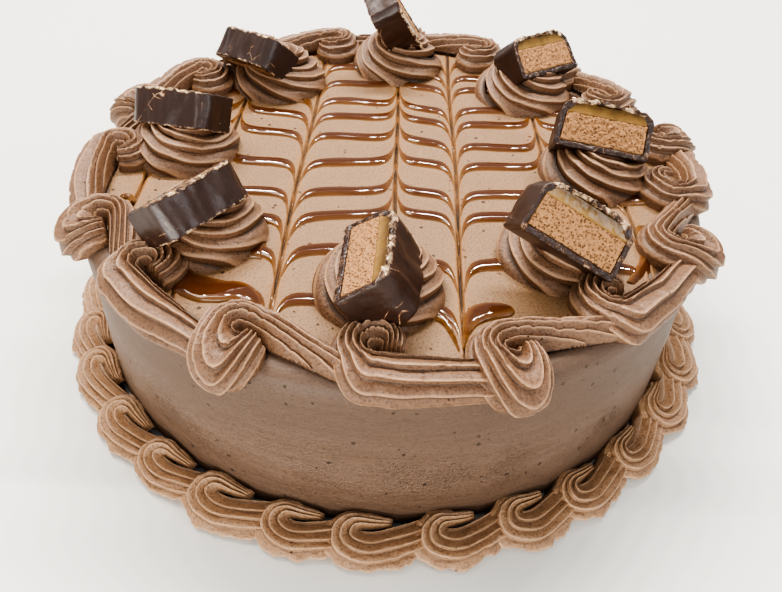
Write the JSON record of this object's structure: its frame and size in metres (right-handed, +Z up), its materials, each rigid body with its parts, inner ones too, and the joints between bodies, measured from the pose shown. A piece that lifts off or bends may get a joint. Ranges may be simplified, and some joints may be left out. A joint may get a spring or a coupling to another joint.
{
  "type": "decorated chocolate cake",
  "caption": "Round iced chocolate cake with a feathered caramel top, piped borders, and rosettes that each carry a cut slice of coated nougat and caramel bar.",
  "frame": {"origin": "centre of the flat base, at the middle of the foot border", "axes": "+Z up out of the cake; the feathered caramel lines run along Y; the front, as pictured, faces -Y"},
  "size_m": [0.2385, 0.2403, 0.0956],
  "materials": {
    "icing": "satin buttercream",
    "piping": "satin buttercream",
    "bar_chocolate": "satin chocolate",
    "bar_nougat": "porous matt nougat",
    "bar_caramel": "glossy caramel"
  },
  "bodies": {
    "root": {"cake_body": "icing", "rosette_01": "piping", "rosette_02": "piping", "rosette_03": "piping", "rosette_04": "piping", "rosette_05": "piping", "rosette_06": "piping", "rosette_07": "piping", "rosette_08": "piping", "top_scroll_01": "piping", "top_scroll_02": "piping", "top_scroll_03": "piping", "top_scroll_04": "piping", "top_scroll_05": "piping", "top_scroll_06": "piping", "top_scroll_07": "piping", "top_scroll_08": "piping", "top_scroll_09": "piping", "top_scroll_10": "piping", "top_scroll_11": "piping", "top_scroll_12": "piping", "top_scroll_13": "piping", "top_scroll_14": "piping", "top_scroll_15": "piping", "top_scroll_16": "piping", "top_scroll_17": "piping", "top_scroll_18": "piping", "shell_border_01": "piping", "shell_border_02": "piping", "shell_border_03": "piping", "shell_border_04": "piping", "shell_border_05": "piping", "shell_border_06": "piping", "bar_coat_01": "bar_chocolate", "bar_coat_02": "bar_chocolate", "bar_coat_03": "bar_chocolate", "bar_coat_04": "bar_chocolate", "bar_coat_05": "bar_chocolate", "bar_coat_06": "bar_chocolate", "bar_coat_07": "bar_chocolate", "bar_coat_08": "bar_chocolate", "bar_nougat_01": "bar_nougat", "bar_nougat_02": "bar_nougat", "bar_nougat_03": "bar_nougat", "bar_nougat_04": "bar_nougat", "bar_nougat_05": "bar_nougat", "bar_nougat_06": "bar_nougat", "bar_nougat_07": "bar_nougat", "bar_nougat_08": "bar_nougat", "bar_caramel_01": "bar_caramel", "bar_caramel_02": "bar_caramel", "bar_caramel_03": "bar_caramel", "bar_caramel_04": "bar_caramel", "bar_caramel_05": "bar_caramel", "bar_caramel_06": "bar_caramel", "bar_caramel_07": "bar_caramel", "bar_caramel_08": "bar_caramel"}
  },
  "joints": []
}
